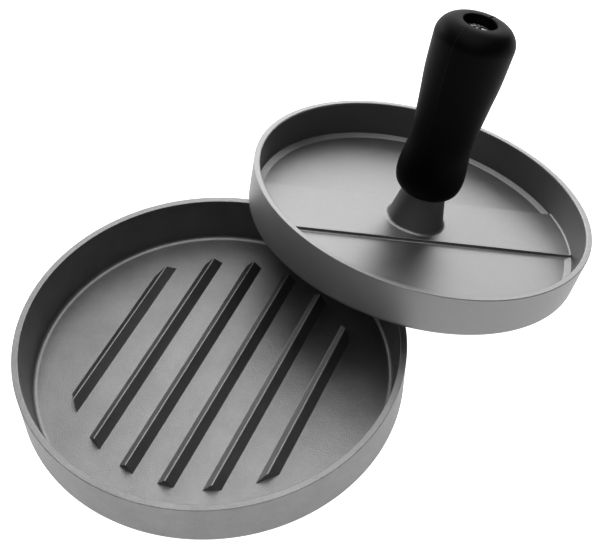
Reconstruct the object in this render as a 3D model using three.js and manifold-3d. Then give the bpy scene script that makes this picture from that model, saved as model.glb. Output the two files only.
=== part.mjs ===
// A patty press for round burgers, as it is put down between uses: a cast aluminium mould with
// raised ridges in its floor, and a cast aluminium press plate with a black plastic grip that
// leans on the rim of the mould. A long screw through the grip holds it on the plate's boss.
// Millimetres, +Z up. The origin is the centre of the mould's foot, on the table.
import * as THREE from 'three';
import { mergeVertices } from 'three/addons/utils/BufferGeometryUtils.js';
import Module from 'manifold-3d';

const wasm = await Module();
wasm.setup();

// ---- driving dimensions -------------------------------------------------------------------

const RING_STEPS = 96; // facets round the mould and the plate
const GRIP_STEPS = 48;
const SCREW_STEPS = 32;
const GAP = 0.3; // clearance between pieces that rest on each other

// Mould: a shallow round dish.
const MOULD_RADIUS = 62.5;
const MOULD_HEIGHT = 18.6;
const MOULD_FLOOR = 1.85; // top of the floor
const MOULD_RIM_WIDTH = 2.15;
const MOULD_FLOOR_RADIUS = 58.8; // where the drafted inner wall meets the floor
const MOULD_FOOT_ROUND = 2.5; // rounding between the foot and the outer wall

// Ridges: triangular bars, parallel, trimmed to a circle.
const RIDGE_COUNT = 6;
const RIDGE_SPACING = 13.67;
const MOULD_RIDGE = { halfWidth: 2.6, height: 3.0, reach: 46, turn: THREE.MathUtils.degToRad(65.75) };
const PLATE_RIDGE = { halfWidth: 2.9, height: 4.0, reach: 43.5, turn: THREE.MathUtils.degToRad(0) };
const RIDGE_ROOT = 0.6; // how far a ridge is buried in its floor

// Press plate, in its own frame: Z along the handle, 0 at the flat of its underside.
const PLATE_RADIUS = 59.0; // at the rim
const PLATE_FOOT_RADIUS = 58.2; // at the underside
const PLATE_HEIGHT = 15.3;
const PLATE_FLOOR = 2.0;
const PLATE_RIM_WIDTH = 2.15;
const PLATE_FOOT_ROUND = 1.5;
const RING_OUTER_RADIUS = 56.15; // sloping ring between the floor and the wall
const RING_INNER_RADIUS = 53.9;
const RING_RISE = 0.85;
const BAND_HALF_WIDTH = 12.5; // raised band across the plate, under the boss
const BAND_RISE = 1.15;
const RIM_ROUND = 0.4; // edge rounding of both rims

// Boss: a cone on the band, with a spigot that the grip sits on and a blind hole for the screw.
const BOSS_FOOT_RADIUS = 10.4;
const BOSS_FOOT_EDGE = 0.9; // height of the boss's upright lower edge above the band
const BOSS_FILLET = 1.3; // fillet between the band and that edge
const BOSS_TOP_RADIUS = 7.2;
const BOSS_TOP = 16.2;
const SPIGOT_RADIUS = 4.6;
const SPIGOT_TOP = 22.0;
const SCREW_HOLE_BOTTOM = 5.0;

// Grip: radii at chosen heights; the rest is a smooth curve through them.
const GRIP_BOTTOM = BOSS_TOP + GAP;
const GRIP_FOOT = { radius: 9.4, z: GRIP_BOTTOM };
const GRIP_SHAPE = [
  { radius: 10.9, z: 18.6 },
  { radius: 11.6, z: 22.6 },
  { radius: 11.2, z: 28.0 },
  { radius: 10.45, z: 35.0 }, // waist
  { radius: 10.9, z: 42.5 },
  { radius: 11.7, z: 51.0 },
  { radius: 12.6, z: 60.0 },
];
const GRIP_TOP = 77.9;
const GRIP_TOP_RADIUS = 13.1;
const GRIP_TOP_ROUND = 6.2;
const SOCKET_RADIUS = SPIGOT_RADIUS + GAP;
const SOCKET_TOP = SPIGOT_TOP + GAP;
const RECESS_RADIUS = 5.5; // for the screw's head
const RECESS_FLOOR = 69.4;
const CLEAR_HOLE_RADIUS = 2.8; // for the screw's shank, in the grip and in the boss

// M5 cross-recess pan head screw and the washers under its head.
const SCREW_RADIUS = 2.5;
const SCREW_END = 6.0;
const HEAD_RADIUS = 4.75;
const HEAD_HEIGHT = 3.6;
const FLAT_WASHER = { inner: 2.8, outer: 5.0, thickness: 1.0 };
const SPRING_WASHER = { inner: 2.8, outer: 4.6, thickness: 1.2, slit: 0.8 };
const FLAT_WASHER_Z = RECESS_FLOOR + GAP;
const SPRING_WASHER_Z = FLAT_WASHER_Z + FLAT_WASHER.thickness + GAP;
const HEAD_Z = SPRING_WASHER_Z + SPRING_WASHER.thickness + GAP;
const CROSS = { span: 5.4, width: 1.1, depth: 2.2 };

// Where the press plate lies: centre of its underside, and the way its handle leans.
const PRESS_AT = new THREE.Vector3(67.9, 50.15, 16.56);
const PRESS_LEAN_TO = THREE.MathUtils.degToRad(42.9); // towards this bearing from +X
const PRESS_LEAN = THREE.MathUtils.degToRad(16.87);
const PRESS_SPIN = THREE.MathUtils.degToRad(-37.45); // turns the band about the handle

// ---- solids -------------------------------------------------------------------------------

// Merges shared vertices, drops the slivers that a revolved outline leaves on its axis, and
// turns the faces outwards.
function solidFrom(geometry) {
  const bare = geometry.clone();
  bare.deleteAttribute('normal');
  bare.deleteAttribute('uv');
  const merged = mergeVertices(bare, 1e-4);
  const points = merged.attributes.position;
  const triangles = [];
  const a = new THREE.Vector3();
  const b = new THREE.Vector3();
  const c = new THREE.Vector3();
  let volume = 0;
  for (let i = 0; i < merged.index.count; i += 3) {
    const corners = [0, 1, 2].map((k) => merged.index.getX(i + k));
    if (new Set(corners).size < 3) continue;
    triangles.push(corners);
    a.fromBufferAttribute(points, corners[0]);
    b.fromBufferAttribute(points, corners[1]);
    c.fromBufferAttribute(points, corners[2]);
    volume += a.dot(b.cross(c));
  }
  if (volume < 0) triangles.forEach((corners) => corners.reverse());
  const mesh = new wasm.Mesh({
    numProp: 3,
    vertProperties: new Float32Array(points.array),
    triVerts: new Uint32Array(triangles.flat()),
  });
  mesh.merge();
  return new wasm.Manifold(mesh);
}

function geometryFrom(solid) {
  const mesh = solid.getMesh();
  const geometry = new THREE.BufferGeometry();
  geometry.setAttribute('position', new THREE.BufferAttribute(mesh.vertProperties, 3));
  geometry.setIndex(new THREE.BufferAttribute(mesh.triVerts, 1));
  geometry.computeVertexNormals();
  return geometry;
}

// Points of an arc in an outline, both ends included; angles in degrees.
function arc(centreR, centreZ, radius, from, to, steps) {
  return Array.from({ length: steps + 1 }, (_, i) => {
    const angle = THREE.MathUtils.degToRad(from + ((to - from) * i) / steps);
    return [centreR + radius * Math.cos(angle), centreZ + radius * Math.sin(angle)];
  });
}

// Revolves an outline of [radius, height] points about Z.
function revolved(outline, steps) {
  const points = outline.map(([r, z]) => new THREE.Vector2(r, z));
  return solidFrom(new THREE.LatheGeometry(points, steps).rotateX(Math.PI / 2));
}

// An upright cylinder from one height to another.
function rod(radius, from, to, steps) {
  const cylinder = new THREE.CylinderGeometry(radius, radius, to - from, steps);
  return solidFrom(cylinder.rotateX(Math.PI / 2).translate(0, 0, (from + to) / 2));
}

function block(sizeX, sizeY, sizeZ, centreZ) {
  return solidFrom(new THREE.BoxGeometry(sizeX, sizeY, sizeZ).translate(0, 0, centreZ));
}

// Parallel triangular bars that stand on the plane floorZ and point up (side 1) or down (-1).
function ridges({ halfWidth, height, reach, turn }, floorZ, side) {
  const rootHalfWidth = halfWidth * (1 + RIDGE_ROOT / height);
  const section = new THREE.Shape([
    new THREE.Vector2(-rootHalfWidth, -side * RIDGE_ROOT),
    new THREE.Vector2(rootHalfWidth, -side * RIDGE_ROOT),
    new THREE.Vector2(0, side * height),
  ]);
  const bar = new THREE.ExtrudeGeometry(section, { depth: 2 * reach, bevelEnabled: false });
  bar.translate(0, 0, -reach).rotateX(Math.PI / 2);
  let all = null;
  for (let i = 0; i < RIDGE_COUNT; i += 1) {
    const offset = (i - (RIDGE_COUNT - 1) / 2) * RIDGE_SPACING;
    const one = solidFrom(bar.clone().translate(offset, 0, floorZ));
    all = all ? all.add(one) : one;
  }
  const low = floorZ - 2 * height;
  const trim = rod(reach, low, floorZ + 2 * height, RING_STEPS);
  const quarterTurn = 90; // the bars are drawn along Y
  return all.intersect(trim).rotate([0, 0, THREE.MathUtils.radToDeg(turn) - quarterTurn]);
}

// ---- pieces -------------------------------------------------------------------------------

function mouldGeometry() {
  const footRadius = MOULD_RADIUS - MOULD_FOOT_ROUND;
  const rimInner = MOULD_RADIUS - MOULD_RIM_WIDTH;
  const rimZ = MOULD_HEIGHT - RIM_ROUND;
  const floorFillet = 1.0;
  const dish = revolved([
    [0, 0],
    ...arc(footRadius, MOULD_FOOT_ROUND, MOULD_FOOT_ROUND, -90, 0, 5),
    ...arc(MOULD_RADIUS - RIM_ROUND, rimZ, RIM_ROUND, 0, 90, 2),
    ...arc(rimInner + RIM_ROUND, rimZ, RIM_ROUND, 90, 180, 2),
    ...arc(MOULD_FLOOR_RADIUS - floorFillet, MOULD_FLOOR + floorFillet, floorFillet, 0, -90, 3),
    [0, MOULD_FLOOR],
  ], RING_STEPS);
  return geometryFrom(dish.add(ridges(MOULD_RIDGE, MOULD_FLOOR, 1)));
}

function plateGeometry() {
  const rimInner = PLATE_RADIUS - PLATE_RIM_WIDTH;
  const rimZ = PLATE_HEIGHT - RIM_ROUND;
  const bandTop = PLATE_FLOOR + BAND_RISE;
  const dish = revolved([
    [0, 0],
    ...arc(PLATE_FOOT_RADIUS - PLATE_FOOT_ROUND, PLATE_FOOT_ROUND, PLATE_FOOT_ROUND, -90, 0, 4),
    ...arc(PLATE_RADIUS - RIM_ROUND, rimZ, RIM_ROUND, 0, 90, 2),
    ...arc(rimInner + RIM_ROUND, rimZ, RIM_ROUND, 90, 180, 2),
    [RING_OUTER_RADIUS, PLATE_FLOOR + RING_RISE],
    [RING_INNER_RADIUS, PLATE_FLOOR],
    [0, PLATE_FLOOR],
  ], RING_STEPS);
  const bandBlock = block(2 * PLATE_RADIUS, 2 * BAND_HALF_WIDTH, bandTop - 1, (bandTop + 1) / 2);
  const insideWall = rod(RING_OUTER_RADIUS + 0.2, 0, PLATE_HEIGHT, RING_STEPS);
  const edgeZ = bandTop + BOSS_FOOT_EDGE;
  const boss = revolved([
    [0, 1],
    [BOSS_FOOT_RADIUS + BOSS_FILLET, 1],
    [BOSS_FOOT_RADIUS + BOSS_FILLET, bandTop],
    [BOSS_FOOT_RADIUS, edgeZ],
    [BOSS_TOP_RADIUS, BOSS_TOP],
    [SPIGOT_RADIUS, BOSS_TOP],
    [SPIGOT_RADIUS, SPIGOT_TOP],
    [0, SPIGOT_TOP],
  ], GRIP_STEPS);
  const hole = rod(CLEAR_HOLE_RADIUS, SCREW_HOLE_BOTTOM, SPIGOT_TOP + 1, SCREW_STEPS);
  return geometryFrom(dish
    .add(bandBlock.intersect(insideWall))
    .add(boss)
    .add(ridges(PLATE_RIDGE, 0, -1))
    .subtract(hole));
}

function gripGeometry() {
  const topZ = GRIP_TOP - GRIP_TOP_ROUND;
  const shape = [GRIP_FOOT, ...GRIP_SHAPE, { radius: GRIP_TOP_RADIUS, z: topZ }];
  const side = new THREE.SplineCurve(shape.map(({ radius, z }) => new THREE.Vector2(radius, z)));
  const sideSteps = 24;
  return geometryFrom(revolved([
    [SOCKET_RADIUS, GRIP_BOTTOM],
    ...side.getSpacedPoints(sideSteps).map(({ x, y }) => [x, y]),
    ...arc(GRIP_TOP_RADIUS - GRIP_TOP_ROUND, topZ, GRIP_TOP_ROUND, 0, 90, 6).slice(1),
    [RECESS_RADIUS, GRIP_TOP],
    [RECESS_RADIUS, RECESS_FLOOR],
    [CLEAR_HOLE_RADIUS, RECESS_FLOOR],
    [CLEAR_HOLE_RADIUS, SOCKET_TOP],
    [SOCKET_RADIUS, SOCKET_TOP],
    [SOCKET_RADIUS, GRIP_BOTTOM],
  ], GRIP_STEPS));
}

function screwGeometry() {
  const headTop = HEAD_Z + HEAD_HEIGHT;
  const domeRise = 1.2;
  const domeRadius = (HEAD_RADIUS ** 2 + domeRise ** 2) / (2 * domeRise);
  const domeEdge = THREE.MathUtils.radToDeg(Math.asin(HEAD_RADIUS / domeRadius));
  const screw = revolved([
    [0, SCREW_END],
    [SCREW_RADIUS - 0.6, SCREW_END],
    [SCREW_RADIUS, SCREW_END + 0.6],
    [SCREW_RADIUS, HEAD_Z],
    [HEAD_RADIUS, HEAD_Z],
    ...arc(0, headTop - domeRadius, domeRadius, 90 - domeEdge, 90, 5).slice(0, -1),
    [0, headTop],
  ], SCREW_STEPS);
  const slotZ = headTop - CROSS.depth / 2 + 0.5;
  const slot = block(CROSS.span, CROSS.width, CROSS.depth + 1, slotZ);
  const crossSlot = block(CROSS.width, CROSS.span, CROSS.depth + 1, slotZ);
  return geometryFrom(screw.subtract(slot.add(crossSlot)));
}

function ringOutline({ inner, outer, thickness }, z) {
  return [[inner, z], [outer, z], [outer, z + thickness], [inner, z + thickness], [inner, z]];
}

function flatWasherGeometry() {
  return geometryFrom(revolved(ringOutline(FLAT_WASHER, FLAT_WASHER_Z), SCREW_STEPS));
}

function springWasherGeometry() {
  const ring = revolved(ringOutline(SPRING_WASHER, SPRING_WASHER_Z), SCREW_STEPS);
  const cut = new THREE.BoxGeometry(SPRING_WASHER.outer, SPRING_WASHER.slit, 4 * SPRING_WASHER.thickness);
  cut.rotateX(THREE.MathUtils.degToRad(25)).translate(SPRING_WASHER.outer / 2, 0, SPRING_WASHER_Z);
  return geometryFrom(ring.subtract(solidFrom(cut)));
}

// ---- assembly -----------------------------------------------------------------------------

const aluminium = { color: 0x9c9c9c, roughness: 0.42, metalness: 1.0 };
const blackPlastic = { color: 0x0c0c0c, roughness: 0.5, metalness: 0.0 };
const zincSteel = { color: 0xb4b4b4, roughness: 0.35, metalness: 1.0 };

function piece(name, geometry, finish) {
  const mesh = new THREE.Mesh(geometry, new THREE.MeshStandardMaterial(finish));
  mesh.name = name;
  return mesh;
}

const press = new THREE.Group();
press.rotation.z = PRESS_SPIN;
press.add(
  piece('press_plate', plateGeometry(), aluminium),
  piece('grip', gripGeometry(), blackPlastic),
  piece('handle_screw', screwGeometry(), zincSteel),
  piece('spring_washer', springWasherGeometry(), zincSteel),
  piece('flat_washer', flatWasherGeometry(), zincSteel),
);

const leaning = new THREE.Group();
leaning.rotation.y = PRESS_LEAN;
leaning.add(press);

const putDown = new THREE.Group();
putDown.position.copy(PRESS_AT);
putDown.rotation.z = PRESS_LEAN_TO;
putDown.add(leaning);

const pattyPress = new THREE.Group();
pattyPress.add(piece('mould', mouldGeometry(), aluminium), putDown);

export default pattyPress;
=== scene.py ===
"""The looks of the patty press: two satin aluminium castings and a black plastic grip.

Lengths are millimetres, as in the CAD, until they go into a mesh or the camera, which are in
metres. Materials and lights are in metres throughout. Angles are degrees. An outline is a list of
(radius, height), and the press's pieces are made upright, in the press plate's own frame.
"""
import math

import bmesh
import bpy
from mathutils import Euler, Matrix, Vector


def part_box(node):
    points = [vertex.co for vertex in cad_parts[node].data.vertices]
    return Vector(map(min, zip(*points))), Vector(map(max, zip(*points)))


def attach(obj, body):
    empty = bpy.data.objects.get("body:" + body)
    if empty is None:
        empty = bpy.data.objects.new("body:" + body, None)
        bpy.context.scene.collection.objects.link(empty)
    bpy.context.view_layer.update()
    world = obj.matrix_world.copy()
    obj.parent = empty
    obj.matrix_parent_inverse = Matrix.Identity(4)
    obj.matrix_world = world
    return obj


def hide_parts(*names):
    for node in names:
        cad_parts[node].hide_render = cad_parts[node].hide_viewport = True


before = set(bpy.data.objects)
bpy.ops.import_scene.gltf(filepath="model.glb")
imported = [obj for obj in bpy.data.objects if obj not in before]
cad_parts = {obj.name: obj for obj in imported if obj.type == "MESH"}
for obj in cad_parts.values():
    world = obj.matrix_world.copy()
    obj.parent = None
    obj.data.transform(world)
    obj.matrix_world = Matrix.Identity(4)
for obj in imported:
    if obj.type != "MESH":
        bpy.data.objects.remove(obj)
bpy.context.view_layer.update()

MM = 0.001

# ---- dimensions, as in the CAD ---------------------------------------------------------------

_, mould_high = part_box("mould")
MOULD_RADIUS = mould_high.x / MM
MOULD_HEIGHT = mould_high.z / MM
MOULD_FLOOR = 1.85
MOULD_RIM_WIDTH = 2.15
MOULD_FLOOR_RADIUS = 58.8
MOULD_FOOT_ROUND = 2.5

# The ridges' ends follow a circle of radius reach, and turn is the direction that they run in.
RIDGE_COUNT = 6
RIDGE_SPACING = 13.67
MOULD_RIDGE = {"half_width": 2.6, "height": 3.0, "reach": 46.0, "turn": 65.75}
PLATE_RIDGE = {"half_width": 2.9, "height": 4.0, "reach": 43.5, "turn": 0.0}

PLATE_RADIUS = 59.0
PLATE_FOOT_RADIUS = 58.2
PLATE_HEIGHT = 15.3
PLATE_FLOOR = 2.0
PLATE_RIM_WIDTH = 2.15
PLATE_FOOT_ROUND = 1.5
RING_OUTER_RADIUS = 56.15
RING_INNER_RADIUS = 53.9
RING_RISE = 0.85
BAND_HALF_WIDTH = 12.5
BAND_RISE = 1.15
BAND_TOP = PLATE_FLOOR + BAND_RISE

BOSS_TOP_RADIUS = 7.2
BOSS_TOP = 16.2
SPIGOT_RADIUS = 4.6
SPIGOT_TOP = 22.0
SCREW_HOLE_BOTTOM = 5.0

GAP = 0.3
GRIP_BOTTOM = BOSS_TOP + GAP
GRIP_TOP = 77.9
GRIP_TOP_RADIUS = 13.1
GRIP_TOP_ROUND = 6.2
GRIP_SHAPE = [(9.4, GRIP_BOTTOM), (10.9, 18.6), (11.6, 22.6), (11.2, 28.0), (10.45, 35.0),
              (10.9, 42.5), (11.7, 51.0), (12.6, 60.0),
              (GRIP_TOP_RADIUS, GRIP_TOP - GRIP_TOP_ROUND)]
SOCKET_RADIUS = SPIGOT_RADIUS + GAP
SOCKET_TOP = SPIGOT_TOP + GAP
RECESS_RADIUS = 5.5
RECESS_FLOOR = 69.4
CLEAR_HOLE_RADIUS = 2.8

SCREW_RADIUS = 2.5
SCREW_END = 6.0
HEAD_RADIUS = 4.75
HEAD_HEIGHT = 3.6
FLAT_WASHER = {"inner": 2.8, "outer": 5.0, "thickness": 1.0}
SPRING_WASHER = {"inner": 2.8, "outer": 4.6, "thickness": 1.2}
FLAT_WASHER_Z = RECESS_FLOOR + GAP
SPRING_WASHER_Z = FLAT_WASHER_Z + FLAT_WASHER["thickness"] + GAP
HEAD_Z = SPRING_WASHER_Z + SPRING_WASHER["thickness"] + GAP
HEAD_TOP = HEAD_Z + HEAD_HEIGHT

PRESS_AT = Vector((67.9, 50.15, 16.56))
PRESS_LEAN_TO = 42.9
PRESS_LEAN = 16.87
PRESS_SPIN = -37.45

# ---- details that only the looks have --------------------------------------------------------

MOULD_FLOOR_FILLET = 1.7
MOULD_RIM_ROUND = {"outer": 0.2, "inner": 0.35}
PLATE_RIM_ROUND = {"outer": 0.25, "inner": 0.6}
RIDGE_ROOT_FILLET = 0.5
RIDGE_APEX_ROUND = 0.45

# The band is made longer than it is, and trimmed to a disc inside the plate's wall.
BAND_HALF_LENGTH = PLATE_RADIUS - 1
BAND_TRIM_RADIUS = PLATE_FOOT_RADIUS - 0.6
BAND_FILLET = 0.8
BAND_EDGE_ROUND = 0.3
# The fillet at the band's ends is cut from a ring, which starts just under the wall's surface and
# goes on into the wall. It is a little narrower than the band, so that no two sides coincide.
BAND_END_RADIUS = RING_OUTER_RADIUS + 0.05
BAND_END_DEPTH = 0.7
BAND_END_HALF_WIDTH = BAND_HALF_WIDTH - 0.02

# The photo shows a thinner foot than the CAD has, in a wider fillet.
BOSS_FOOT_RADIUS = 9.6
BOSS_FILLET = 1.4
BOSS_FILLET_SPAN = 75
BOSS_SHAPE = [(9.45, 5.0), (8.9, 7.6), (8.3, 10.4), (7.7, 13.4), (BOSS_TOP_RADIUS, BOSS_TOP)]

GRIP_LIP_ROUND = 0.4
PARTING_TURN = 44.0
PARTING_LINE = {"rise": 0.08, "root": 0.3, "root_half_width": 0.9}
NOTCH = {"inner": 4.5, "outer": 8.6, "half_width": 0.25, "depth": 0.5}

SCREW_END_CHAMFER = 0.6
SCREW_NECK = {"flare": 0.2, "length": 0.3}
HEAD_CHAMFER = 0.3
HEAD_DOME_RISE = 1.2
# The cross recess tapers from its mouth, which is cut from above the head, down to its bottom.
CROSS_MOUTH = {"half_length": 2.9, "half_width": 0.65, "z": HEAD_TOP + 0.3}
CROSS_BOTTOM = {"half_length": 1.0, "half_width": 0.45, "z": HEAD_TOP - 2.4}
WASHER_EDGE_ROUND = 0.15
SPLIT_HALF_ANGLE = 12

# ---- how the meshes are made -----------------------------------------------------------------

# A joined shape's fillet starts this far under the surface that it grows from.
SINK = 0.01
# The rest of it goes down this far under the surface, or to this height in the plate's floor.
ROOT_DEPTH = 0.6
PLATE_ROOT_Z = 1.0
# A cutter goes this far past the surface.
OVERCUT = 1
# Slivers that a join or a cut leaves, and that are shorter than this, are taken out.
SLIVER = 0.002

CASTING_STEPS = 192
GRIP_STEPS = 96
SCREW_STEPS = 64
SPRING_STEPS = 60

# Edges with a larger angle than this between their faces are shaded sharp.
CASTING_SHARP = 14
GRIP_SHARP = 18
STEEL_SHARP = 30


def turned(degrees, axis):
    return Matrix.Rotation(math.radians(degrees), 4, axis)


# From the press plate's own frame to the whole part's, in metres.
PRESS_PLACE = (Matrix.Translation(PRESS_AT * MM) @ turned(PRESS_LEAN_TO, "Z")
               @ turned(PRESS_LEAN, "Y") @ turned(PRESS_SPIN, "Z"))


def arc(centre_r, centre_z, radius, start, end, steps):
    """Points of an arc in an outline, both ends included."""
    angles = [math.radians(start + (end - start) * i / steps) for i in range(steps + 1)]
    return [(centre_r + radius * math.cos(a), centre_z + radius * math.sin(a)) for a in angles]


def smooth_curve(points, steps):
    """Catmull-Rom curve through the points, with that many steps between two of them."""
    ends = [points[0], *points, points[-1]]
    out = []
    for p0, p1, p2, p3 in zip(ends, ends[1:], ends[2:], ends[3:]):
        for i in range(steps):
            t = i / steps
            out.append(tuple(
                0.5 * (2 * b + (c - a) * t + (2 * a - 5 * b + 4 * c - d) * t * t
                       + (3 * b - a - 3 * c + d) * t ** 3)
                for a, b, c, d in zip(p0, p1, p2, p3)))
    return out + [points[-1]]


def rectangle(half_x, half_y, z):
    return [(-half_x, -half_y, z), (half_x, -half_y, z), (half_x, half_y, z), (-half_x, half_y, z)]


def new_object(name, bm):
    """Makes an object of a bmesh in millimetres, with its faces turned outwards."""
    bmesh.ops.recalc_face_normals(bm, faces=bm.faces)
    bmesh.ops.scale(bm, vec=(MM, MM, MM), verts=bm.verts)
    mesh = bpy.data.meshes.new(name)
    bm.to_mesh(mesh)
    bm.free()
    obj = bpy.data.objects.new(name, mesh)
    bpy.context.scene.collection.objects.link(obj)
    return obj


def sweep(name, sections, closed=False):
    """A solid through cross-sections that have equally many points. It has a flat cap at each
    end, unless it is closed: then the last section is joined to the first."""
    bm = bmesh.new()
    loops = [[bm.verts.new(point) for point in section] for section in sections]
    pairs = list(zip(loops, loops[1:]))
    if closed:
        pairs.append((loops[-1], loops[0]))
    for low, high in pairs:
        for i in range(len(low)):
            j = (i + 1) % len(low)
            bm.faces.new((low[i], low[j], high[j], high[i]))
    if not closed:
        bm.faces.new(loops[0])
        bm.faces.new(loops[-1])
    return new_object(name, bm)


def lathe(name, outline, steps, closed=False):
    """Revolves an outline about Z. An open outline gets a flat cap at each end."""
    angles = [2 * math.pi * i / steps for i in range(steps)]
    return sweep(name, [[(r * math.cos(a), r * math.sin(a), z) for a in angles]
                        for r, z in outline], closed)


def block(name, half_x, half_y, low, high):
    return sweep(name, [rectangle(half_x, half_y, low), rectangle(half_x, half_y, high)])


def boolean(obj, tool, operation):
    """Joins or cuts obj with tool, and removes tool."""
    modifier = obj.modifiers.new("Boolean", "BOOLEAN")
    modifier.object = tool
    modifier.operation = operation
    modifier.solver = "EXACT"
    evaluated = obj.evaluated_get(bpy.context.evaluated_depsgraph_get())
    mesh = bpy.data.meshes.new_from_object(evaluated)
    obj.modifiers.clear()
    obj.data = mesh
    bpy.data.objects.remove(tool)


def finish_mesh(obj, sharp_angle):
    """Takes out slivers, and shades smoothly with crisp true edges and flat faces kept flat."""
    bm = bmesh.new()
    bm.from_mesh(obj.data)
    bmesh.ops.dissolve_degenerate(bm, dist=SLIVER * MM, edges=bm.edges)
    for face in bm.faces:
        face.smooth = True
    for edge in bm.edges:
        edge.smooth = edge.calc_face_angle(0) < math.radians(sharp_angle)
    bm.to_mesh(obj.data)
    bm.free()
    normals = obj.modifiers.new("Flat faces stay flat", "WEIGHTED_NORMAL")
    normals.keep_sharp = True


# ---- materials -------------------------------------------------------------------------------

# Most of a noise's values lie between these two.
NOISE_LOW = 0.3
NOISE_HIGH = 0.7


def new_material(name, metallic, ior=1.5):
    material = bpy.data.materials.new(name)
    material.use_nodes = True
    tree = material.node_tree
    shader = tree.nodes["Principled BSDF"]
    shader.inputs["Metallic"].default_value = metallic
    shader.inputs["IOR"].default_value = ior
    return material, tree, shader


def object_place(tree):
    return tree.nodes.new("ShaderNodeTexCoord").outputs["Object"]


def noise(tree, vector, scale, detail, roughness=0.5):
    node = tree.nodes.new("ShaderNodeTexNoise")
    node.inputs["Scale"].default_value = scale
    node.inputs["Detail"].default_value = detail
    node.inputs["Roughness"].default_value = roughness
    tree.links.new(vector, node.inputs["Vector"])
    return node.outputs["Fac"]


def stretched_noise(tree, vector, scales, detail):
    """Noise with its own scale along each axis."""
    node = tree.nodes.new("ShaderNodeMapping")
    node.inputs["Scale"].default_value = scales
    tree.links.new(vector, node.inputs["Vector"])
    return noise(tree, node.outputs["Vector"], scale=1.0, detail=detail)


def spread(tree, value, low, high):
    """Brings a noise to the range from low to high."""
    node = tree.nodes.new("ShaderNodeMapRange")
    node.inputs["From Min"].default_value = NOISE_LOW
    node.inputs["From Max"].default_value = NOISE_HIGH
    node.inputs["To Min"].default_value = low
    node.inputs["To Max"].default_value = high
    tree.links.new(value, node.inputs["Value"])
    return node.outputs["Result"]


def added(tree, first, second):
    node = tree.nodes.new("ShaderNodeMath")
    node.operation = "ADD"
    tree.links.new(first, node.inputs[0])
    tree.links.new(second, node.inputs[1])
    return node.outputs["Value"]


def mixed_color(tree, value, first, second):
    """A colour between first and second, as the noise goes."""
    node = tree.nodes.new("ShaderNodeMix")
    node.data_type = "RGBA"
    node.inputs["A"].default_value = (*first, 1)
    node.inputs["B"].default_value = (*second, 1)
    tree.links.new(spread(tree, value, 0, 1), node.inputs["Factor"])
    return node.outputs["Result"]


def bumps(tree, height, strength, distance, previous=None):
    node = tree.nodes.new("ShaderNodeBump")
    node.inputs["Strength"].default_value = strength
    node.inputs["Distance"].default_value = distance
    tree.links.new(height, node.inputs["Height"])
    if previous:
        tree.links.new(previous, node.inputs["Normal"])
    return node.outputs["Normal"]


def grey(value):
    return (value, value, value)


def cast_aluminium(name, tone, mottle, rough, grain, streaks):
    """Satin cast aluminium: clouded tone and gloss, a fine blasted grain, and brushing along X."""
    material, tree, shader = new_material(name, metallic=1.0)
    place = object_place(tree)
    clouds = noise(tree, place, scale=70, detail=7, roughness=0.75)
    speckle = noise(tree, place, scale=2600, detail=2)
    brushing = stretched_noise(tree, place, scales=(30, 900, 900), detail=3)
    color = mixed_color(tree, clouds, grey(tone * (1 - mottle)), grey(tone * (1 + mottle)))
    gloss = added(tree, spread(tree, clouds, rough - 0.03, rough + 0.03),
                  spread(tree, speckle, -0.04, 0.04))
    normal = bumps(tree, speckle, grain, distance=0.0001)
    normal = bumps(tree, brushing, streaks, distance=0.00004, previous=normal)
    tree.links.new(color, shader.inputs["Base Color"])
    tree.links.new(gloss, shader.inputs["Roughness"])
    tree.links.new(normal, shader.inputs["Normal"])
    return material


def black_plastic(name):
    """Matt black moulded plastic with a faint texture."""
    material, tree, shader = new_material(name, metallic=0.0, ior=1.48)
    place = object_place(tree)
    clouds = noise(tree, place, scale=60, detail=3)
    texture = noise(tree, place, scale=1800, detail=3)
    normal = bumps(tree, texture, strength=0.25, distance=0.00005)
    shader.inputs["Specular IOR Level"].default_value = 0.13
    tree.links.new(mixed_color(tree, clouds, grey(0.002), grey(0.004)),
                   shader.inputs["Base Color"])
    tree.links.new(spread(tree, clouds, 0.42, 0.5), shader.inputs["Roughness"])
    tree.links.new(normal, shader.inputs["Normal"])
    return material


def zinc_steel(name):
    """Zinc-plated steel with fine scratches round the axis."""
    material, tree, shader = new_material(name, metallic=1.0)
    place = object_place(tree)
    clouds = noise(tree, place, scale=400, detail=3)
    scratches = stretched_noise(tree, place, scales=(600, 600, 6000), detail=2)
    normal = bumps(tree, scratches, strength=0.15, distance=0.00002)
    tree.links.new(mixed_color(tree, clouds, grey(0.3), (0.36, 0.36, 0.38)),
                   shader.inputs["Base Color"])
    tree.links.new(spread(tree, scratches, 0.3, 0.42), shader.inputs["Roughness"])
    tree.links.new(normal, shader.inputs["Normal"])
    return material


MOULD_METAL = cast_aluminium("mould_aluminium", tone=0.29, mottle=0.12, rough=0.48,
                             grain=0.9, streaks=0.0)
PLATE_METAL = cast_aluminium("plate_aluminium", tone=0.3, mottle=0.05, rough=0.47,
                             grain=0.12, streaks=0.3)
GRIP_PLASTIC = black_plastic("grip_plastic")
SCREW_STEEL = zinc_steel("zinc_steel")


# ---- ridges, which both castings have --------------------------------------------------------

def ridge_section(size):
    """Half of a ridge's cross-section, from its root on the floor up to the middle of its apex:
    a concave root fillet, a straight facet and a rounded apex."""
    half_width, height = size["half_width"], size["height"]
    slope = math.degrees(math.atan2(height, half_width))
    root_x = half_width + RIDGE_ROOT_FILLET * math.tan(math.radians(slope / 2))
    apex_z = height - RIDGE_APEX_ROUND / math.cos(math.radians(slope))
    return [*arc(root_x, RIDGE_ROOT_FILLET, RIDGE_ROOT_FILLET, -90, -90 - slope, 6),
            *arc(0, apex_z, RIDGE_APEX_ROUND, 90 - slope, 90, 5)]


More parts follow.
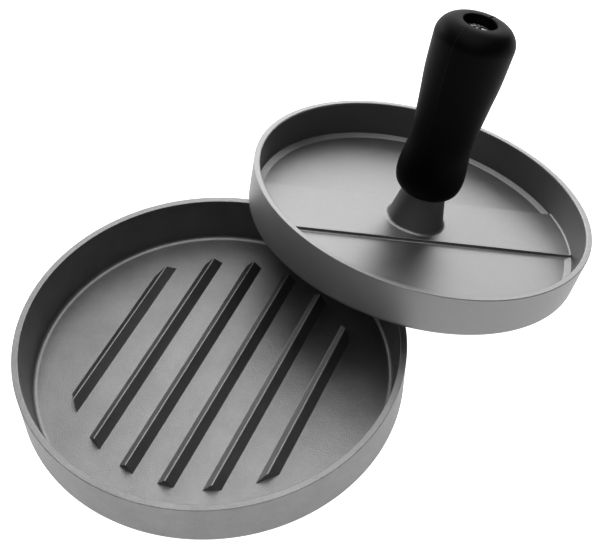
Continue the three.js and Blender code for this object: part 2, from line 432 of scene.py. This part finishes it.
def ridges(name, size, floor_z, side):
    """Parallel triangular bars that stand up (side 1) or down (-1) from the plane floor_z."""
    reach = size["reach"]
    half = [(x, z - SINK) for x, z in ridge_section(size)]
    foot = half[0][0]
    section = [(foot, -ROOT_DEPTH), *half, *[(-x, z) for x, z in half[-2::-1]],
               (-foot, -ROOT_DEPTH)]
    bars = []
    for i in range(RIDGE_COUNT):
        offset = (i - (RIDGE_COUNT - 1) / 2) * RIDGE_SPACING
        half_length = math.sqrt(reach ** 2 - offset ** 2)
        ends = [[(offset + x, end * (reach ** 2 - offset * (offset + x)) / half_length,
                  floor_z + side * z) for x, z in section] for end in (-1, 1)]
        bar = sweep(f"{name}_{i}", ends)
        bar.data.transform(turned(size["turn"] - 90, "Z"))
        bars.append(bar)
    return bars


# ---- the mould -------------------------------------------------------------------------------

def make_mould():
    outer_round, inner_round = MOULD_RIM_ROUND.values()
    foot_round, fillet = MOULD_FOOT_ROUND, MOULD_FLOOR_FILLET
    rim_inner = MOULD_RADIUS - MOULD_RIM_WIDTH
    mould = lathe("mould_body", [
        *arc(MOULD_RADIUS - foot_round, foot_round, foot_round, -90, 0, 10),
        *arc(MOULD_RADIUS - outer_round, MOULD_HEIGHT - outer_round, outer_round, 0, 90, 8),
        *arc(rim_inner + inner_round, MOULD_HEIGHT - inner_round, inner_round, 90, 180, 8),
        *arc(MOULD_FLOOR_RADIUS - fillet, MOULD_FLOOR + fillet, fillet, 0, -90, 9),
    ], CASTING_STEPS)
    for bar in ridges("mould_ridge", MOULD_RIDGE, MOULD_FLOOR, 1):
        boolean(mould, bar, "UNION")
    finish_mesh(mould, CASTING_SHARP)
    return mould


# ---- the press plate -------------------------------------------------------------------------

def make_band():
    """The raised band across the plate: a bar with filleted sides, trimmed to the wall."""
    foot = BAND_HALF_WIDTH + BAND_FILLET
    half = [(foot, PLATE_ROOT_Z),
            *arc(foot, PLATE_FLOOR + BAND_FILLET - SINK, BAND_FILLET, -90, -180, 9),
            *arc(BAND_HALF_WIDTH - BAND_EDGE_ROUND, BAND_TOP - BAND_EDGE_ROUND, BAND_EDGE_ROUND,
                 0, 90, 8)]
    section = [*half, *[(-y, z) for y, z in reversed(half)]]
    band = sweep("band", [[(x, y, z) for y, z in section]
                          for x in (-BAND_HALF_LENGTH, BAND_HALF_LENGTH)])
    trim = lathe("trim", [(BAND_TRIM_RADIUS, PLATE_ROOT_Z - OVERCUT),
                          (BAND_TRIM_RADIUS, BAND_TOP + OVERCUT)], CASTING_STEPS)
    boolean(band, trim, "INTERSECT")
    return band


def make_band_end_fillets():
    """The fillet between the band's two ends and the wall."""
    wall = BAND_END_RADIUS
    ring = lathe("band_ends", [
        (wall + BAND_END_DEPTH, BAND_TOP - ROOT_DEPTH),
        (wall + BAND_END_DEPTH, BAND_TOP + BAND_FILLET),
        *arc(wall - BAND_FILLET, BAND_TOP + BAND_FILLET - SINK, BAND_FILLET, 0, -90, 9),
        (wall - BAND_FILLET, BAND_TOP - ROOT_DEPTH),
    ], CASTING_STEPS, closed=True)
    span = block("span", PLATE_RADIUS, BAND_END_HALF_WIDTH,
                 0, BAND_TOP + BAND_FILLET + OVERCUT)
    boolean(ring, span, "INTERSECT")
    return ring


def make_boss():
    """The cone-shaped boss on the band, with the spigot that goes up into the grip."""
    foot = BOSS_FOOT_RADIUS + BOSS_FILLET
    return lathe("boss", [
        (foot, PLATE_ROOT_Z),
        *arc(foot, BAND_TOP + BOSS_FILLET - SINK, BOSS_FILLET, -90, -90 - BOSS_FILLET_SPAN, 9),
        *smooth_curve(BOSS_SHAPE, 5),
        (SPIGOT_RADIUS, BOSS_TOP),
        (SPIGOT_RADIUS, SPIGOT_TOP),
    ], GRIP_STEPS)


def make_plate():
    outer_round, inner_round = PLATE_RIM_ROUND.values()
    foot_round = PLATE_FOOT_ROUND
    rim_inner = PLATE_RADIUS - PLATE_RIM_WIDTH
    plate = lathe("press_plate_body", [
        *arc(PLATE_FOOT_RADIUS - foot_round, foot_round, foot_round, -90, 0, 9),
        *arc(PLATE_RADIUS - outer_round, PLATE_HEIGHT - outer_round, outer_round, 0, 90, 8),
        *arc(rim_inner + inner_round, PLATE_HEIGHT - inner_round, inner_round, 90, 180, 9),
        (RING_OUTER_RADIUS, PLATE_FLOOR + RING_RISE),
        (RING_INNER_RADIUS, PLATE_FLOOR),
    ], CASTING_STEPS)
    for part in [make_band(), make_band_end_fillets(),
                 *ridges("plate_ridge", PLATE_RIDGE, 0.0, -1), make_boss()]:
        boolean(plate, part, "UNION")
    hole = lathe("hole", [(CLEAR_HOLE_RADIUS, SCREW_HOLE_BOTTOM),
                          (CLEAR_HOLE_RADIUS, SPIGOT_TOP + OVERCUT)], SCREW_STEPS)
    boolean(plate, hole, "DIFFERENCE")
    finish_mesh(plate, CASTING_SHARP)
    return plate


# ---- the grip --------------------------------------------------------------------------------

def parting_line(outline, turn):
    """The fine raised line that is left where the two halves of the grip's mould meet. Its
    cross-section is a triangle whose apex stands out of the surface."""
    half_width = PARTING_LINE["root_half_width"]
    sections = []
    for before, here, after in zip(outline, outline[1:], outline[2:]):
        along = (Vector(after) - Vector(before)).normalized()
        outwards = Vector((along.y, -along.x))
        foot = Vector(here) - outwards * PARTING_LINE["root"]
        apex = Vector(here) + outwards * PARTING_LINE["rise"]
        sections.append([(foot.x, -half_width, foot.y), (apex.x, 0, apex.y),
                         (foot.x, half_width, foot.y)])
    line = sweep("parting_line", sections)
    line.data.transform(turned(turn, "Z"))
    return line


def grip_notch():
    """The small slot at the back of the recess's rim."""
    middle = (NOTCH["inner"] + NOTCH["outer"]) / 2
    notch = block("notch", middle - NOTCH["inner"], NOTCH["half_width"],
                  GRIP_TOP - NOTCH["depth"], GRIP_TOP + OVERCUT)
    notch.data.transform(turned(PARTING_TURN, "Z") @ Matrix.Translation((middle * MM, 0, 0)))
    return notch


def make_grip():
    lip = GRIP_LIP_ROUND
    outside = [*smooth_curve(GRIP_SHAPE, 8),
               *arc(GRIP_TOP_RADIUS - GRIP_TOP_ROUND, GRIP_TOP - GRIP_TOP_ROUND, GRIP_TOP_ROUND,
                    0, 90, 16)[1:]]
    grip = lathe("grip_body", [
        (SOCKET_RADIUS, GRIP_BOTTOM),
        *outside,
        *arc(RECESS_RADIUS + lip, GRIP_TOP - lip, lip, 90, 180, 8),
        (RECESS_RADIUS, RECESS_FLOOR),
        (CLEAR_HOLE_RADIUS, RECESS_FLOOR),
        (CLEAR_HOLE_RADIUS, SOCKET_TOP),
        (SOCKET_RADIUS, SOCKET_TOP),
    ], GRIP_STEPS, closed=True)
    for turn in (PARTING_TURN, PARTING_TURN + 180):
        boolean(grip, parting_line(outside, turn), "UNION")
    boolean(grip, grip_notch(), "DIFFERENCE")
    finish_mesh(grip, GRIP_SHARP)
    return grip


# ---- the screw and its washers ---------------------------------------------------------------

def make_screw():
    """A pan head screw with a cross recess; its thread is left plain."""
    dome_radius = (HEAD_RADIUS ** 2 + HEAD_DOME_RISE ** 2) / (2 * HEAD_DOME_RISE)
    dome_span = math.degrees(math.asin(HEAD_RADIUS / dome_radius))
    screw = lathe("handle_screw_body", [
        (SCREW_RADIUS - SCREW_END_CHAMFER, SCREW_END),
        (SCREW_RADIUS, SCREW_END + SCREW_END_CHAMFER),
        (SCREW_RADIUS, HEAD_Z - SCREW_NECK["length"]),
        (SCREW_RADIUS + SCREW_NECK["flare"], HEAD_Z),
        (HEAD_RADIUS - HEAD_CHAMFER, HEAD_Z),
        (HEAD_RADIUS, HEAD_Z + HEAD_CHAMFER),
        *arc(0, HEAD_TOP - dome_radius, dome_radius, 90 - dome_span, 90, 10)[:-1],
    ], SCREW_STEPS)
    for turn in (0, 90):
        wing = sweep("wing", [rectangle(*CROSS_BOTTOM.values()),
                              rectangle(*CROSS_MOUTH.values())])
        wing.data.transform(turned(turn, "Z"))
        boolean(screw, wing, "DIFFERENCE")
    finish_mesh(screw, STEEL_SHARP)
    return screw


def make_flat_washer():
    inner, outer, thickness = FLAT_WASHER.values()
    low, high = FLAT_WASHER_Z, FLAT_WASHER_Z + thickness
    edge = WASHER_EDGE_ROUND
    washer = lathe("flat_washer_body", [
        (inner, low),
        (outer, low),
        *arc(outer - edge, high - edge, edge, 0, 90, 4),
        (inner, high),
    ], SCREW_STEPS, closed=True)
    finish_mesh(washer, STEEL_SHARP)
    return washer


def make_spring_washer():
    """A ring with a split, pressed flat."""
    inner, outer, thickness = SPRING_WASHER.values()
    low, high = SPRING_WASHER_Z, SPRING_WASHER_Z + thickness
    section = [(inner, low), (outer, low), (outer, high), (inner, high)]
    span = 360 - 2 * SPLIT_HALF_ANGLE
    angles = [math.radians(SPLIT_HALF_ANGLE + span * i / SPRING_STEPS)
              for i in range(SPRING_STEPS + 1)]
    washer = sweep("spring_washer_body", [
        [(r * math.cos(a), r * math.sin(a), z) for r, z in section] for a in angles])
    finish_mesh(washer, STEEL_SHARP)
    return washer


def place_piece(obj, node, body, material):
    """Gives a piece its place, material and body, and hides the CAD node that it stands in for."""
    if body == "press":
        obj.matrix_world = PRESS_PLACE
    obj.data.materials.clear()
    obj.data.materials.append(material)
    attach(obj, body)
    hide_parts(node)


place_piece(make_mould(), "mould", "mould", MOULD_METAL)
place_piece(make_plate(), "press_plate", "press", PLATE_METAL)
place_piece(make_grip(), "grip", "press", GRIP_PLASTIC)
place_piece(make_screw(), "handle_screw", "press", SCREW_STEEL)
place_piece(make_flat_washer(), "flat_washer", "press", SCREW_STEEL)
place_piece(make_spring_washer(), "spring_washer", "press", SCREW_STEEL)


# ---- floor, light and camera -----------------------------------------------------------------

WHITE = (1, 1, 1, 1)

FLOOR_RADIUS = 3000
FLOOR_STEPS = 64
FLOOR_TONE = 0.3
FLOOR_ROUGHNESS = 0.9
# The floor glows, so that it is as white as the photograph's background.
FLOOR_GLOW = 1.15
WORLD_LIGHT = 0.05

# Name, place, the point that it faces, width, height and radiance of each softbox.
SOFTBOXES = [
    ("top_softbox", (0.13, 0.33, 1.0), (0.13, 0.33, 0.0), 1.1, 1.0, 2.4),
    ("front_softbox", (0.0, -0.4, 0.98), (0.0, 0.0, 0.0), 0.8, 0.5, 1.9),
    ("high_back_softbox", (0.05, 0.85, 0.75), (0.0, 0.0, 0.05), 0.9, 0.35, 2.0),
    ("back_left_softbox", (-0.85, 1.1, 0.38), (0.0, 0.0, 0.05), 1.1, 0.66, 4.5),
    ("back_right_softbox", (0.3, 1.1, 0.38), (0.0, 0.0, 0.05), 1.2, 0.66, 2.9),
]

CAMERA_AT = Vector((28.3, -222.9, 302.2))
CAMERA_DOWN = 48.885
CAMERA_ROLL = -0.206
CAMERA_LENS = 68.25
CAMERA_NEAR = 10
VIEW_GAMMA = 0.75


def make_floor():
    bm = bmesh.new()
    bmesh.ops.create_circle(bm, cap_ends=True, segments=FLOOR_STEPS, radius=FLOOR_RADIUS)
    floor = new_object("floor", bm)
    material, _, shader = new_material("pale_floor", metallic=0.0)
    shader.inputs["Base Color"].default_value = (*grey(FLOOR_TONE), 1)
    shader.inputs["Roughness"].default_value = FLOOR_ROUGHNESS
    shader.inputs["Emission Color"].default_value = WHITE
    shader.inputs["Emission Strength"].default_value = FLOOR_GLOW
    floor.data.materials.append(material)


def make_softbox(name, at, towards, width, height, radiance):
    """A flat light of an even radiance."""
    light = bpy.data.lights.new(name, "AREA")
    light.shape = "RECTANGLE"
    light.size = width
    light.size_y = height
    light.energy = radiance * math.pi * width * height
    obj = bpy.data.objects.new(name, light)
    obj.location = at
    obj.rotation_euler = (Vector(towards) - Vector(at)).to_track_quat("-Z", "Y").to_euler()
    bpy.context.scene.collection.objects.link(obj)


def make_world():
    """A white backdrop that the camera sees behind the floor, and that lights the press little."""
    world = bpy.data.worlds.new("studio")
    world.use_nodes = True
    tree = world.node_tree
    light = tree.nodes["Background"]
    light.inputs["Color"].default_value = WHITE
    light.inputs["Strength"].default_value = WORLD_LIGHT
    backdrop = tree.nodes.new("ShaderNodeBackground")
    backdrop.inputs["Color"].default_value = WHITE
    light_path = tree.nodes.new("ShaderNodeLightPath")
    chosen = tree.nodes.new("ShaderNodeMixShader")
    tree.links.new(light_path.outputs["Is Camera Ray"], chosen.inputs[0])
    tree.links.new(light.outputs["Background"], chosen.inputs[1])
    tree.links.new(backdrop.outputs["Background"], chosen.inputs[2])
    tree.links.new(chosen.outputs["Shader"], tree.nodes["World Output"].inputs["Surface"])
    bpy.context.scene.world = world


def make_camera():
    """At the photograph's viewing angle: from the front, looking 49 degrees down."""
    camera = bpy.data.objects.new("camera", bpy.data.cameras.new("camera"))
    looking_down = Euler((math.radians(90 - CAMERA_DOWN), 0, 0)).to_matrix()
    roll = Matrix.Rotation(math.radians(CAMERA_ROLL), 3, "Z")
    camera.rotation_euler = (looking_down @ roll).to_euler()
    camera.location = CAMERA_AT * MM
    camera.data.lens = CAMERA_LENS
    camera.data.clip_start = CAMERA_NEAR * MM
    bpy.context.scene.collection.objects.link(camera)
    bpy.context.scene.camera = camera


make_floor()
for softbox in SOFTBOXES:
    make_softbox(*softbox)
make_world()
make_camera()
bpy.context.scene.view_settings.view_transform = "Standard"
bpy.context.scene.view_settings.gamma = VIEW_GAMMA
